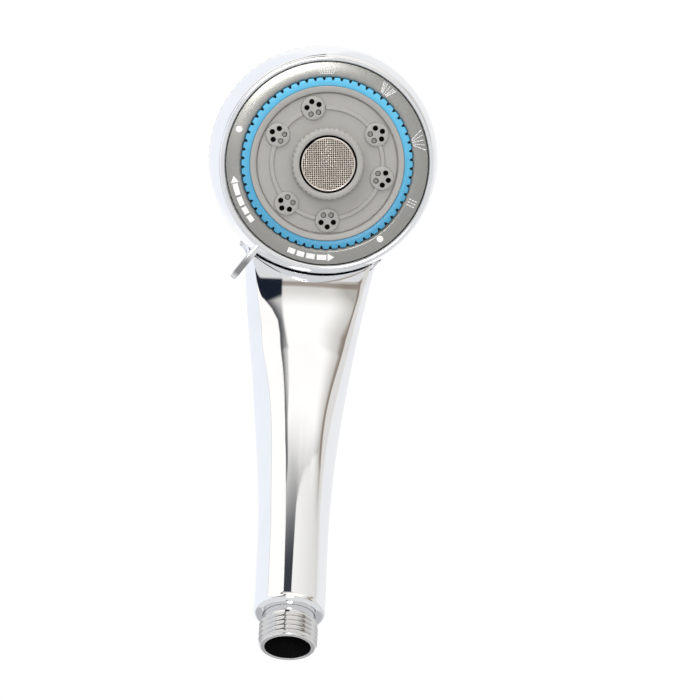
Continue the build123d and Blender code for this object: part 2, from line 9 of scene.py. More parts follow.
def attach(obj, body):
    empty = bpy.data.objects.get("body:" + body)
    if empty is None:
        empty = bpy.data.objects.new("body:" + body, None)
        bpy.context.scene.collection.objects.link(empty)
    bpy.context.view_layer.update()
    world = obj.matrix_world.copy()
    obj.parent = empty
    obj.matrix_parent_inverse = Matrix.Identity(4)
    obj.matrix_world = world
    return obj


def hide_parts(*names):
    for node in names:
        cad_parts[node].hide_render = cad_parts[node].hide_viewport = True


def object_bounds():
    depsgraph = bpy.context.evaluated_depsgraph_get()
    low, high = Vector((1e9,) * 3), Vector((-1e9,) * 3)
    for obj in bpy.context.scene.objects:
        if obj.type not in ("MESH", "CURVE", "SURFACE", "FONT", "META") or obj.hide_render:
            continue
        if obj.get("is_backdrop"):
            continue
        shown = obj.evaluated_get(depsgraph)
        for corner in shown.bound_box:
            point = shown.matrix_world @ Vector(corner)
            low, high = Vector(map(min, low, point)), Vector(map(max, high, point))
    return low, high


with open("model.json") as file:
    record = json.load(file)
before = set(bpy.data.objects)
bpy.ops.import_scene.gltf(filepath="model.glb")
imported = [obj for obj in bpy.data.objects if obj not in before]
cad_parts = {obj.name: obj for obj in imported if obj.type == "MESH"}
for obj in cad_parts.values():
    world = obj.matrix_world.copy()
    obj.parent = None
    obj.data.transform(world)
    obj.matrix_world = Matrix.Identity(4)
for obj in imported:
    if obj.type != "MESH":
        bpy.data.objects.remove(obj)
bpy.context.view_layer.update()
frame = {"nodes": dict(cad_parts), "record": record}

# Handle and head back
# One chrome-plated plastic moulding: a round grip that widens into a broad neck and runs into the
# domed back of the head. The neck ends in a rounded lip under the selector ring, clear of it.

MM = 0.001
FACE_TILT = math.radians(39.4)
FACE_CENTRE = Vector((0, -53.9, 172.4))
FACE_OUT = Vector((0, -math.cos(FACE_TILT), -math.sin(FACE_TILT)))
FACE_UP = Vector((0, -math.sin(FACE_TILT), math.cos(FACE_TILT)))
FACE_AXES = Matrix((Vector((1, 0, 0)), FACE_UP, FACE_OUT)).transposed()
FACE = Matrix.Translation(FACE_CENTRE) @ FACE_AXES.to_4x4()
TO_FACE = FACE.inverted()

HANDLE_FOOT = 14.8
HANDLE_RADIUS = 12.9
HANDLE_WALL = 2.0
FOOT_DROP = 2.4
FOOT_EDGE = HANDLE_FOOT - FOOT_DROP
FOOT_ROUND = 2.0
FOOT_STEPS = 8
NIPPLE_HOLE = 9.4
GRIP_LENGTH = 30.0
HANDLE_LENGTH = 165.0
NECK_FLARE = 15.6
FLARE_POWER = 1.6
PANEL_START = 52.0
PANEL_LENGTH = 58.0
NECK_FRONT_DEPTH = 11.0
SHOULDER_TURN = math.radians(65)
FRONT_BEND = (103.0, 70.0)
BACK_BEND = (90.0, 111.0)

SHELL_RADIUS = 42.2
RIM_DEPTH = -18.2
SIDE_DEPTH = -20.0
DOME_HEIGHT = 22.0
DOME_SHOULDER = 14.0
RING_REAR_RADIUS = 42.4
RING_FLARE = 2.7
RING_RISE = 12.2
RING_BOW = 0.4
BAND_TOP = -14.2
LIP_ROOM = 0.5
ROOM_EASE = 0.8
WALL_RADIUS = 43.1
DOME_REST = SHELL_RADIUS - DOME_SHOULDER
CAP_RISE = DOME_HEIGHT - DOME_SHOULDER
CAP_CENTRE = (DOME_REST**2 - CAP_RISE**2) / (2 * CAP_RISE)
CAP_RADIUS = DOME_HEIGHT + CAP_CENTRE
CAP_TURN = math.atan2(CAP_CENTRE, DOME_REST)


class Flow:
    """A socket of a material's nodes, so that shader maths reads as a Python expression."""

    def __init__(self, tree, socket):
        self.tree = tree
        self.socket = socket

    def node(self, kind, settings, sockets, output=0):
        """Add a node of this kind, set its settings and then its sockets, and give one output."""
        made = self.tree.nodes.new(kind)
        for name, value in settings.items():
            if name == "stops":
                for place, _ in value[1:-1]:
                    made.color_ramp.elements.new(place)
                for stop, (place, level) in zip(made.color_ramp.elements, value):
                    stop.position = place
                    stop.color = (level, level, level, 1)
            else:
                setattr(made, name, value)
        for name, value in sockets.items():
            if isinstance(value, Flow):
                self.tree.links.new(value.socket, made.inputs[name])
            else:
                made.inputs[name].default_value = value
        return Flow(self.tree, made.outputs[output])

    def math(self, operation, first, second=0.0):
        """A sum, product or other maths on one or two values."""
        return self.node("ShaderNodeMath", {"operation": operation}, {0: first, 1: second})

    def __add__(self, other):
        return self.math("ADD", self, other)

    def __sub__(self, other):
        return self.math("SUBTRACT", self, other)

    def __rsub__(self, other):
        return self.math("SUBTRACT", other, self)

    def __mul__(self, other):
        return self.math("MULTIPLY", self, other)

    __radd__ = __add__
    __rmul__ = __mul__

    def most(self, other):
        """The larger of this value and another."""
        return self.math("MAXIMUM", self, other)

    def part(self, axis):
        """One of this vector's three parts."""
        return self.node("ShaderNodeSeparateXYZ", {}, {0: self}, axis)

    def distance(self, centre):
        """How far these coordinates are from a centre."""
        away = self.node("ShaderNodeVectorMath", {"operation": "SUBTRACT"}, {0: self, 1: centre})
        return away.node("ShaderNodeVectorMath", {"operation": "LENGTH"}, {0: away}, "Value")

    def step(self, low, high):
        """A smooth step from 0 at low to 1 at high."""
        return self.node(
            "ShaderNodeMapRange", {"interpolation_type": "SMOOTHSTEP"},
            {"Value": self, "From Min": low, "From Max": high},
        )

    def noise(self, scale, detail=3.0):
        """Cloudy noise from these coordinates, near 0.5 on average."""
        return self.node("ShaderNodeTexNoise", {}, {"Vector": self, "Scale": scale, "Detail": detail}, "Fac")

    def along(self, points):
        """A value that follows straight lines through (input, output) points."""
        low, high = points[0][0], points[-1][0]
        least = min(level for _, level in points)
        span = max(level for _, level in points) - least
        stops = [((place - low) / (high - low), (level - least) / span) for place, level in points]
        share = self.node("ShaderNodeMapRange", {}, {"Value": self, "From Min": low, "From Max": high})
        return share.node("ShaderNodeValToRGB", {"stops": stops}, {"Fac": share}) * span + least

    def blend(self, first, second):
        """A colour between first and second, by this share."""
        return self.node("ShaderNodeMix", {"data_type": "RGBA"}, {0: self, 6: first, 7: second}, 2)

    def bump(self, distance):
        """A normal from this height, for bumps of about this size."""
        return self.node("ShaderNodeBump", {}, {"Height": self, "Distance": distance}, "Normal")

    def to(self, socket):
        """Feed this into a socket of the material's shader."""
        self.tree.links.new(self.socket, self.tree.nodes["Principled BSDF"].inputs[socket])


def finish(name, fixed):
    """A new material with these fixed values on its shader, and its Object coordinates."""
    made = bpy.data.materials.new(name)
    made.use_nodes = True
    shader = made.node_tree.nodes["Principled BSDF"]
    for socket, value in fixed.items():
        shader.inputs[socket].default_value = value
    place = made.node_tree.nodes.new("ShaderNodeTexCoord").outputs["Object"]
    return made, Flow(made.node_tree, place)


def mottled(name, fixed, scale, first, second, rough, varied):
    """A new material whose colour and roughness wander with cloudy noise of this scale."""
    made, place = finish(name, fixed)
    cloud = place.noise(scale)
    cloud.blend((*first, 1), (*second, 1)).to("Base Color")
    (cloud * varied + rough).to("Roughness")
    return made


def plated(name, colour, smudge):
    """Bright plating on a smooth base, with a faint uneven haze from handling, and its coordinates."""
    made, place = finish(name, {"Metallic": 1.0})
    haze = place.noise(45.0, 4.0).step(0.45, 0.75)
    fine = place.noise(900.0, 2.0)
    haze.blend((*colour, 1), (*[c * 0.97 for c in colour], 1)).to("Base Color")
    (haze * smudge + fine * 0.02 + 0.02).to("Roughness")
    return made, place


# The handle's plating leans its shading a little below BOW_TOP, as a slightly bowed grip would

BOW_TOP = 0.130
BOW_SIZE = 0.34
CHROME = (0.895, 0.91, 0.935)
chrome, _ = plated("chrome_plating", CHROME, 0.03)
handle_chrome, place = plated("handle_plating", CHROME, 0.02)
bow = (BOW_TOP - place.part(2)).most(0.0)
(bow * bow * BOW_SIZE).bump(1.0).to("Normal")


def arc(centre, radius, start, turn, steps):
    """Points of an outline along an arc, as pairs."""
    return [
        (
            centre[0] + radius * math.cos(start + turn * step / steps),
            centre[1] + radius * math.sin(start + turn * step / steps),
        )
        for step in range(steps + 1)
    ]


def spun(outline, steps):
    """A mesh from a closed outline of (radius, depth) points turned once about the Z axis."""
    bm = bmesh.new()
    chain = [bm.verts.new((radius, 0, depth)) for radius, depth in outline]
    edges = [bm.edges.new(pair) for pair in zip(chain, chain[1:] + chain[:1])]
    bmesh.ops.spin(
        bm, geom=chain + edges, cent=(0, 0, 0), axis=(0, 0, 1), dvec=(0, 0, 0),
        angle=2 * math.pi, steps=steps, use_merge=True, use_duplicate=False,
    )
    bmesh.ops.remove_doubles(bm, verts=bm.verts, dist=1e-4)
    bmesh.ops.recalc_face_normals(bm, faces=bm.faces)
    return bm


def round_edges(bm, width, segments=3, sharper=30):
    """Round every edge that is sharper than an angle in degrees."""
    edges = [e for e in bm.edges if e.is_manifold and e.calc_face_angle() > math.radians(sharper)]
    bmesh.ops.bevel(
        bm, geom=edges, offset=width, offset_type="OFFSET", affect="EDGES",
        segments=segments, profile=0.5, material=-1, clamp_overlap=True,
    )


def extruded(bm, edges):
    """Extrude these edges in place, and give the new edges, vertices and faces."""
    made = bmesh.ops.extrude_edge_only(bm, edges=edges)["geom"]
    kinds = (bmesh.types.BMEdge, bmesh.types.BMVert, bmesh.types.BMFace)
    return [[g for g in made if isinstance(g, kind)] for kind in kinds]


def absorb(bm, other):
    """Move the whole of another mesh into this one."""
    carrier = bpy.data.meshes.new("carrier")
    other.to_mesh(carrier)
    other.free()
    bm.from_mesh(carrier)
    bpy.data.meshes.remove(carrier)


def piece(name, bm, materials, body, nodes=(), place=FACE, smooth=35):
    """Turn a mesh in millimetres into a finished piece that rides on a body of the frame."""
    bmesh.ops.transform(bm, matrix=Matrix.Scale(MM, 4) @ place, verts=bm.verts)
    mesh = bpy.data.meshes.new(name)
    bm.to_mesh(mesh)
    bm.free()
    for material in materials:
        mesh.materials.append(material)
    mesh.shade_smooth()
    mesh.set_sharp_from_angle(angle=math.radians(smooth))
    made = bpy.data.objects.new(name, mesh)
    bpy.context.scene.collection.objects.link(made)
    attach(made, body)
    if nodes:
        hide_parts(*nodes)
    return made


def share_of(value, low, high):
    """How far a value has gone from low to high, kept between 0 and 1."""
    return min(1, max(0, (value - low) / (high - low)))


def eased(value, low, high):
    """The same share, with a smooth start and end."""
    share = share_of(value, low, high)
    return share * share * (3 - 2 * share)


def bent(height, start, radius):
    """How far a profile that bends forward from a start has moved at this height."""
    past = max(0, height - start)
    return radius - math.sqrt(max(0, radius**2 - past**2))


def neck_point(turn, height):
    """A point of the handle's surface at a height above its foot, at a turn round its section."""
    share = max(0, height - GRIP_LENGTH) / (HANDLE_LENGTH - GRIP_LENGTH)
    flat = eased(height, PANEL_START, PANEL_START + PANEL_LENGTH)
    half = HANDLE_RADIUS + NECK_FLARE * share**FLARE_POWER
    front = -HANDLE_RADIUS - bent(height, *FRONT_BEND)
    back = HANDLE_RADIUS - bent(height, *BACK_BEND)
    depth = half * (1 - flat) + NECK_FRONT_DEPTH * flat
    widest = front + depth
    slant = (1 - math.sin(SHOULDER_TURN)) / math.cos(SHOULDER_TURN)
    shoulder = (depth - half * slant) / (1 - slant)
    middle = half - shoulder
    rise = HANDLE_FOOT + height
    if turn <= math.pi:
        return Vector((half * math.cos(turn), widest + (back - widest) * math.sin(turn), rise))
    if turn < math.pi + SHOULDER_TURN:
        centre, radius = (-middle, widest), shoulder
    elif turn > 2 * math.pi - SHOULDER_TURN:
        centre, radius = (middle, widest), shoulder
    else:
        centre = (0, widest + middle * math.tan(SHOULDER_TURN))
        radius = centre[1] - front
    return Vector((centre[0] + radius * math.cos(turn), centre[1] + radius * math.sin(turn), rise))


def ring_radius(depth):
    """The selector ring's outer radius: its side bows out towards the back."""
    share = share_of(depth, BAND_TOP, BAND_TOP + RING_RISE)
    return RING_REAR_RADIUS - RING_FLARE * share * (1 - RING_BOW + RING_BOW * share)


def in_head(point):
    """Whether a point lies in the room for the selector ring or inside the head's domed back."""
    local = TO_FACE @ point
    across = math.hypot(local.x, local.y)
    behind = SIDE_DEPTH - local.z
    if local.z >= RIM_DEPTH:
        room = ring_radius(local.z) + LIP_ROOM - SHELL_RADIUS
        return across < SHELL_RADIUS + room * share_of(local.z, RIM_DEPTH, RIM_DEPTH + ROOM_EASE)
    if behind <= 0:
        return across < SHELL_RADIUS
    if behind < DOME_SHOULDER * math.sin(CAP_TURN):
        return across < DOME_REST + math.sqrt(DOME_SHOULDER**2 - behind**2)
    return behind < DOME_HEIGHT and across < math.sqrt(CAP_RADIUS**2 - (behind + CAP_CENTRE)**2)


def onto_dome(point, sink):
    """The nearest point of the dome's surface, sunk a little below it."""
    local = TO_FACE @ point
    across = math.hypot(local.x, local.y)
    behind = max(0, SIDE_DEPTH - local.z)
    if math.atan2(behind, across - DOME_REST) < CAP_TURN:
        centre, radius = Vector((DOME_REST, 0)), DOME_SHOULDER
    else:
        centre, radius = Vector((0, -CAP_CENTRE)), CAP_RADIUS
    reach = centre + (Vector((across, behind)) - centre).normalized() * (radius - sink)
    return FACE @ Vector((local.x * reach.x / across, local.y * reach.x / across, SIDE_DEPTH - reach.y))


ENTRY_LOWEST = 100.0
ENTRY_HALVINGS = 40


def entry(turn):
    """The height at which the handle's surface enters the head, at a turn round its section."""
    low, high = ENTRY_LOWEST, HANDLE_LENGTH
    for _ in range(ENTRY_HALVINGS):
        middle = (low + high) / 2
        if in_head(neck_point(turn, middle)):
            high = middle
        else:
            low = middle
    return high


def spread(start, sweep, steps):
    """Evenly spaced turns over a sweep, without its last one."""
    return [start + sweep * step / steps for step in range(steps)]


FRONT_SWEEP = math.pi - 2 * SHOULDER_TURN
turns = spread(0, math.pi, 72)
turns += spread(math.pi, SHOULDER_TURN, 36)
turns += spread(math.pi + SHOULDER_TURN, FRONT_SWEEP, 72)
turns += spread(2 * math.pi - SHOULDER_TURN, SHOULDER_TURN, 36)
ends = [entry(turn) for turn in turns]

# The lip is smallest where it meets the ring's rear corner, and grows from there into the front lip
# and into the fillet behind

CORNER_SIZE = 1.2
LIP_SIZE = 2.6
LIP_GROWS_OVER = 7.0
FILLET_SIZE = 6.0
FILLET_GROWS_OVER = 6.0
LIP_EASE = 1.6
LIP_LEAN = 0.12
WALL_DEPTH = 5.0
WALL_END = RIM_DEPTH - 1.0
TUCK = 1.5
TUCK_SINK = 0.9
SHORT_WAY = 0.5
LIP_STEPS = 10
BODY_ROWS = 110


def lip_points(turn, end):
    """The points that carry one line of the handle round its lip, or along a fillet onto the dome."""
    meet = neck_point(turn, end)
    local = TO_FACE @ meet
    depth = local.z
    lip = eased(depth, RIM_DEPTH, RIM_DEPTH + LIP_EASE)
    above = share_of(depth, RIM_DEPTH, RIM_DEPTH + LIP_GROWS_OVER)
    below = share_of(depth, RIM_DEPTH, RIM_DEPTH - FILLET_GROWS_OVER)
    size = CORNER_SIZE + (LIP_SIZE - CORNER_SIZE) * above + (FILLET_SIZE - CORNER_SIZE) * below
    begin = neck_point(turn, end - size)
    onward = (meet - neck_point(turn, end - SHORT_WAY)).normalized()
    outward = WALL_RADIUS / math.hypot(local.x, local.y)
    down_wall = FACE @ Vector((local.x * outward, local.y * outward, depth - WALL_DEPTH))
    on_dome = onto_dome(meet + onward * size, 0)
    last = on_dome.lerp(meet.lerp(down_wall, LIP_LEAN), lip)
    points = []
    for step in range(1, LIP_STEPS + 1):
        t = step / LIP_STEPS
        points.append(begin * (1 - t)**2 + meet * 2 * t * (1 - t) + last * t**2)
    wall_end = FACE @ Vector((local.x * outward, local.y * outward, WALL_END))
    points.append(onto_dome(last + onward * TUCK, TUCK_SINK).lerp(wall_end, lip))
    return size, points


def level_ring(radius, height):
    """The points of a level circle about the handle's axis, one for each turn."""
    return [Vector((radius * math.cos(turn), radius * math.sin(turn), height)) for turn in turns]


handle = bmesh.new()
column = handle.verts.layers.int.new("column")
bmesh.ops.create_circle(handle, segments=len(turns), radius=NIPPLE_HOLE)
foot = sorted(handle.verts, key=lambda v: math.atan2(v.co.y, v.co.x) % (2 * math.pi))
for number, (vert, spot) in enumerate(zip(foot, level_ring(NIPPLE_HOLE, FOOT_EDGE))):
    vert[column] = number
    vert.co = spot
lips = [lip_points(turn, end) for turn, end in zip(turns, ends)]
rows = []
for step in range(FOOT_STEPS + 1):
    angle = math.pi / 2 * step / FOOT_STEPS
    inset = FOOT_ROUND * (1 - math.sin(angle))
    rows.append(level_ring(HANDLE_RADIUS - inset, FOOT_EDGE + FOOT_ROUND * (1 - math.cos(angle))))
body_low = FOOT_ROUND - FOOT_DROP
for row in range(1, BODY_ROWS + 1):
    rows.append([
        neck_point(turn, body_low + (end - size - body_low) * row / BODY_ROWS)
        for turn, end, (size, _) in zip(turns, ends, lips)
    ])
for step in range(LIP_STEPS + 1):
    rows.append([points[step] for _, points in lips])
edges = list(handle.edges)
for row in rows:
    edges, verts = extruded(handle, edges)[:2]
    for vert in verts:
        vert.co = row[vert[column]]
bmesh.ops.recalc_face_normals(handle, faces=handle.faces)
bmesh.ops.solidify(handle, geom=handle.faces, thickness=HANDLE_WALL)
piece("chrome_handle", handle, [handle_chrome], "body", ["handle_shell"], Matrix(), 50)

RIM_ROUND = 0.5
inner_cap = CAP_RADIUS - HANDLE_WALL
inner_shoulder = DOME_SHOULDER - HANDLE_WALL
outline = [(SHELL_RADIUS - HANDLE_WALL, RIM_DEPTH), (SHELL_RADIUS, RIM_DEPTH)]
outline += arc((DOME_REST, SIDE_DEPTH), DOME_SHOULDER, 0, -CAP_TURN, 24)
outline += arc((0, SIDE_DEPTH + CAP_CENTRE), CAP_RADIUS, -CAP_TURN, CAP_TURN - math.pi / 2, 24)[1:]
outline += arc((0, SIDE_DEPTH + CAP_CENTRE), inner_cap, -math.pi / 2, math.pi / 2 - CAP_TURN, 24)
outline += arc((DOME_REST, SIDE_DEPTH), inner_shoulder, -CAP_TURN, CAP_TURN, 24)[1:]
dome = spun(outline, 192)
round_edges(dome, RIM_ROUND, sharper=60)
piece("chrome_head_back", dome, [chrome], "body")

# Hose nipple
# A chrome-plated metal nipple pressed into the handle's foot, with a cut half-inch pipe thread on
# the outside, a plain relief above it, and a bore that the water enters through. The bore is painted
# black as shade, and the thread's roots are painted darker as shade.

END_RADIUS = 9.75
SPIGOT_RADIUS = 9.3
SPIGOT_TOP = 34.8
BORE_RADIUS = 8.25
BORE_DEPTH = 12
INSERT_RADIUS = 7.9
INSERT_DEPTH = 21
WATER_RADIUS = 3.2
SOCKET_RADIUS = 4.55
SOCKET_LEDGE = 24
LINING_START = 0.35
THREAD_CREST = 10.4775
THREAD_ROOT = 9.32
THREAD_PITCH = 1.814
THREAD_LOW = 0.3
THREAD_TOP = 9.6
THREAD_STEPS = 96
THREAD_TURNS = 7

nipple_chrome, _ = plated("nipple_plating", (0.78, 0.78, 0.785), 0.06)
# Painted shade: a dark plating for the thread's roots, where the grooves fall into shade
thread_root_shade, _ = plated("thread_root_painted_shade", (0.20, 0.20, 0.205), 0.3)
# Painted shade: near black for the bore and the pieces that stand in it
bore_shade_black = mottled(
    "bore_painted_shade", {"Specular IOR Level": 0.05}, 260.0, (0.004, 0.004, 0.005), (0.009, 0.009, 0.010),
    0.55, 0.2,
)

nipple = spun([
    (BORE_RADIUS, 0), (END_RADIUS - 0.2, 0), (END_RADIUS, 0.2), (END_RADIUS, 0.7), (SPIGOT_RADIUS, 1.2),
    (SPIGOT_RADIUS, SPIGOT_TOP), (SOCKET_RADIUS, SPIGOT_TOP), (SOCKET_RADIUS, SOCKET_LEDGE),
    (WATER_RADIUS, SOCKET_LEDGE), (WATER_RADIUS, INSERT_DEPTH), (INSERT_RADIUS, INSERT_DEPTH),
    (INSERT_RADIUS, BORE_DEPTH), (BORE_RADIUS, BORE_DEPTH),
], 128)
round_edges(nipple, 0.12, 2)
# The bore's faces past its mouth take the painted shade
for face in nipple.faces:
    centre = face.calc_center_median()
    face.material_index = 1 if centre.xy.length < BORE_RADIUS + 0.02 and centre.z > LINING_START else 0

thread_start = -1.5 * THREAD_PITCH
outline = [
    (THREAD_ROOT - 0.1, 0), (THREAD_ROOT + 0.05, 0.2), (THREAD_CREST - 0.2, 0.7), (THREAD_CREST, 0.83),
    (THREAD_CREST, 0.98), (THREAD_CREST - 0.2, 1.11), (THREAD_ROOT + 0.05, 1.61),
    (THREAD_ROOT - 0.1, THREAD_PITCH),
]
thread = bmesh.new()
chain = [thread.verts.new((radius, 0, thread_start + rise)) for radius, rise in outline]
links = [thread.edges.new(pair) for pair in zip(chain, chain[1:])]
bmesh.ops.spin(
    thread, geom=chain + links, cent=(0, 0, 0), axis=(0, 0, 1),
    dvec=(0, 0, THREAD_PITCH / THREAD_STEPS), angle=2 * math.pi * THREAD_TURNS,
    steps=THREAD_STEPS * THREAD_TURNS, use_merge=False, use_duplicate=False,
)
bmesh.ops.remove_doubles(thread, verts=thread.verts, dist=1e-4)
for height, keep_above in ((THREAD_LOW, True), (THREAD_TOP, False)):
    bmesh.ops.bisect_plane(
        thread, geom=list(thread.verts) + list(thread.edges) + list(thread.faces),
        plane_co=(0, 0, height), plane_no=(0, 0, 1), clear_inner=keep_above, clear_outer=not keep_above,
    )
for vert in thread.verts:
    across = vert.co.xy.length
    room_below = END_RADIUS - 0.25 + max(0, vert.co.z - 0.2) * 1.1
    room_above = SPIGOT_RADIUS - 0.1 + (THREAD_TOP - vert.co.z) * 1.6
    room = min(room_below, room_above)
    if across > room:
        vert.co.xy *= room / across
bmesh.ops.recalc_face_normals(thread, faces=thread.faces)
# The faces in the thread's roots take the painted shade
for face in thread.faces:
    face.material_index = 2 if face.calc_center_median().xy.length < THREAD_ROOT + 0.3 else 0
absorb(nipple, thread)
nipple_finishes = [nipple_chrome, bore_shade_black, thread_root_shade]
piece("hose_nipple", nipple, nipple_finishes, "body", ["inlet_nipple"], Matrix(), 40)

# Selector ring
# A chrome-plated ring that turns round the spray face. Its side widens and bows out towards the back,
# where a band of shallow scoops gives the fingers hold. The band's plating is painted darker, as the
# shade in the scoops.

RING_FRONT = -1.6
RING_REAR = -17.8
RING_BORE = 39.0
SIDE_TOP = RING_FRONT - 0.5
SIDE_STEPS = 12
SCOOPS = 72
SCOOP_STEPS = 10
SCOOP_BITE = 0.7
SCOOP_WIDTH = 1.15
SCOOP_FADE = 0.6


def phase_of(vert, count):
    """How far round a vertex is from one of a ring's even places to the next, from 0 to 1."""
    return (math.atan2(vert.co.y, vert.co.x) / (2 * math.pi) * count) % 1


outline = [
    (RING_BORE - 0.7, RING_FRONT - 0.6), (RING_BORE - 0.4, RING_FRONT), (RING_BORE, RING_FRONT),
    (RING_BORE + 0.45, RING_FRONT - 0.15),
]
side = [SIDE_TOP + (BAND_TOP - SIDE_TOP) * step / SIDE_STEPS for step in range(SIDE_STEPS + 1)]
outline += [(ring_radius(depth), depth) for depth in side]
outline += [
    (RING_REAR_RADIUS, BAND_TOP - 0.2), (RING_REAR_RADIUS, BAND_TOP - 0.6),
    (RING_REAR_RADIUS, RING_REAR + 1.4), (RING_REAR_RADIUS, RING_REAR + 0.6),
    (RING_REAR_RADIUS - 0.15, RING_REAR + 0.15), (RING_REAR_RADIUS - 0.5, RING_REAR),
    (RING_BORE + 1.0, RING_REAR), (RING_BORE + 0.2, RING_REAR + 3.8), (RING_BORE, RING_REAR + 7.8),
]
ring = spun(outline, SCOOPS * SCOOP_STEPS)
for vert in ring.verts:
    across = vert.co.xy.length
    if across > RING_BORE + 2.5 and vert.co.z < BAND_TOP - 0.1:
        off = phase_of(vert, SCOOPS) - 0.5
        dip = max(0, math.cos(off * 2 * math.pi / SCOOP_WIDTH))**0.7
        fade = min(1, (BAND_TOP - vert.co.z) / SCOOP_FADE)
        vert.co.xy *= (across - SCOOP_BITE * dip * fade) / across
# The band of scoops is painted darker, as the shade in its hollows
for face in ring.faces:
    centre = face.calc_center_median()
    if RING_REAR + 0.2 < centre.z < BAND_TOP - 0.2 and centre.xy.length > RING_BORE + 2.0:
        face.material_index = 1
scoop_band_shade, _ = plated("scoop_painted_shade", (0.20, 0.20, 0.21), 0.2)
piece("selector_ring", ring, [chrome, scoop_band_shade], "selector", ["grip_ring"])

# Selector lever
# A short chrome tab pressed through a slot in the ring's side, with a rounded end. It stands edge-on
# to the face. Its outer half carries a painted dark reflection, and other plating doesn't mirror it.

LEVER_TURN = math.radians(237.4)
LEVER_ROOT = 38.45
LEVER_REACH = 54.6
LEVER_BACK = -5.5
LEVER_THICK = 2.3
LEVER_TIP_ROUND = 1.75
LEVER_CHROME = (0.86, 0.87, 0.89)
LEVER_REFLECTED_DARK = (0.13, 0.13, 0.14)

lever = bmesh.new()
bmesh.ops.create_cube(lever, size=1)
bmesh.ops.scale(
    lever, vec=(LEVER_REACH - LEVER_ROOT, LEVER_THICK, RING_FRONT - LEVER_BACK), verts=lever.verts,
)
bmesh.ops.translate(
    lever, vec=((LEVER_REACH + LEVER_ROOT) / 2, 0, (RING_FRONT + LEVER_BACK) / 2), verts=lever.verts,
)
tip = [
    e for e in lever.edges
    if all(v.co.x > LEVER_REACH - 0.1 for v in e.verts) and abs(e.verts[0].co.y - e.verts[1].co.y) > 1
]
bmesh.ops.bevel(
    lever, geom=tip, offset=LEVER_TIP_ROUND, offset_type="OFFSET", affect="EDGES", segments=8, profile=0.5,
    material=-1,
)
round_edges(lever, 0.45, 4, 40)
bmesh.ops.rotate(lever, cent=(0, 0, 0), matrix=Matrix.Rotation(LEVER_TURN, 3, "Z"), verts=lever.verts)
lever_chrome, place = plated("lever_plating", LEVER_CHROME, 0.04)
reach = place.distance(FACE_CENTRE * MM)
# Painted reflection: the tab's outer half is darkened, as the dark room below would mirror in it
painted_dark_reflection = reach.step(0.0425, 0.0475) * (1 - reach.step(0.0515, 0.054)) * 0.75
painted_dark_reflection.blend((*LEVER_CHROME, 1), (*LEVER_REFLECTED_DARK, 1)).to("Base Color")
tab = piece("selector_lever", lever, [lever_chrome], "selector", ["lever"])
tab.visible_glossy = False

# Dial
# A satin grey ring on the fixed spray body, shaded as if slightly dished, with a bevel down to the jet
# ring. The spray signs, the two dots that mark the lever's stops and the arrows are printed white.

DIAL_INNER = 31.6
DIAL_EDGE = 37.25
DIAL_BACK = -2.4
DIAL_LEAN = 0.2

dial_grey, place = finish("dial_paint", {"Metallic": 0.75})
fleck = place.noise(2600.0, 2.0)
cloud = place.noise(60.0)
cloud.blend((0.325, 0.325, 0.31, 1), (0.365, 0.365, 0.35, 1)).to("Base Color")
(cloud * 0.08 + fleck * 0.08 + 0.16).to("Roughness")
(place.distance(FACE_CENTRE * MM) * -DIAL_LEAN + fleck * 0.00001).bump(1.0).to("Normal")

dial = spun([
    (DIAL_INNER, DIAL_BACK), (DIAL_EDGE, DIAL_BACK), (DIAL_EDGE, -0.3), (DIAL_EDGE - 0.25, 0),
    (DIAL_INNER + 1.0, 0), (DIAL_INNER + 0.8, -0.08), (DIAL_INNER, -0.75),
], 256)
piece("dial_face", dial, [dial_grey], "body", ["dial_ring"])

PRINT_RADIUS = 34.55
PRINT_LOW = -0.06
PRINT_HIGH = 0.035

print_white = mottled(
    "printed_white", {"Specular IOR Level": 0.35}, 1800.0, (0.78, 0.78, 0.79), (0.90, 0.90, 0.90), 0.4, 0.15,
)
signs = bmesh.new()


def printed(corners, turn, radius=PRINT_RADIUS):
    """Print a flat patch on the dial, from corners in (along the dial, outwards) pairs."""
    verts = [signs.verts.new((along, radius + out, PRINT_HIGH)) for along, out in corners]
    patch = signs.faces.new(verts)
    thick = bmesh.ops.extrude_face_region(signs, geom=[patch], use_keep_orig=True)["geom"]
    sunk = [g for g in thick if isinstance(g, bmesh.types.BMVert)]
    bmesh.ops.translate(signs, vec=(0, 0, PRINT_LOW - PRINT_HIGH), verts=sunk)
    turned = Matrix.Rotation(math.radians(turn - 90), 3, "Z")
    bmesh.ops.rotate(signs, cent=(0, 0, 0), matrix=turned, verts=verts + sunk)


def stroke(start, end, width, turn, dashes, gap):
    """Print a dashed line between two places on the dial."""
    start, end = Vector(start), Vector(end)
    way = (end - start).normalized()
    side = Vector((-way.y, way.x)) * width / 2
    for dash in range(dashes):
        a = start.lerp(end, dash / dashes)
        b = start.lerp(end, (dash + 1) / dashes) - way * gap
        printed([a - side, b - side, b + side, a + side], turn)


# Printed dots at the two end stops

DOT_SIDES = 28
dot = arc((0, 0), 1.2, 0, 2 * math.pi, DOT_SIDES)[:-1]
for turn, radius in ((165.4, 34.7), (311.8, 34.0)):
    printed(dot, turn, radius)

# Printed arrows: four blocks that lengthen towards a head, each way from the lever's middle place

ARROW_GAP = 0.75
ARROW_HALF = 0.95
HEAD_LENGTH = 2.5
HEAD_HALF = 1.45
for tail, way, blocks in ((224.5, 1, (2.7, 2.8, 3.3, 4.4)), (252.2, -1, (2.8, 2.8, 3.2, 3.6))):
    run = 0.0
    for length in blocks:
        middle = tail - way * math.degrees((run + length / 2) / PRINT_RADIUS)
        half = length / 2
        low, high = -ARROW_HALF, ARROW_HALF
        printed([(-half, low), (half, low), (half, high), (-half, high)], middle)
        run += length + ARROW_GAP
    run -= ARROW_GAP * 0.5
    base = tail - way * math.degrees(run / PRINT_RADIUS)
    printed([(0, -HEAD_HALF), (way * HEAD_LENGTH, 0), (0, HEAD_HALF)], base)

# Printed spray signs, each opening outwards: a full shower, two cones and a straight stream

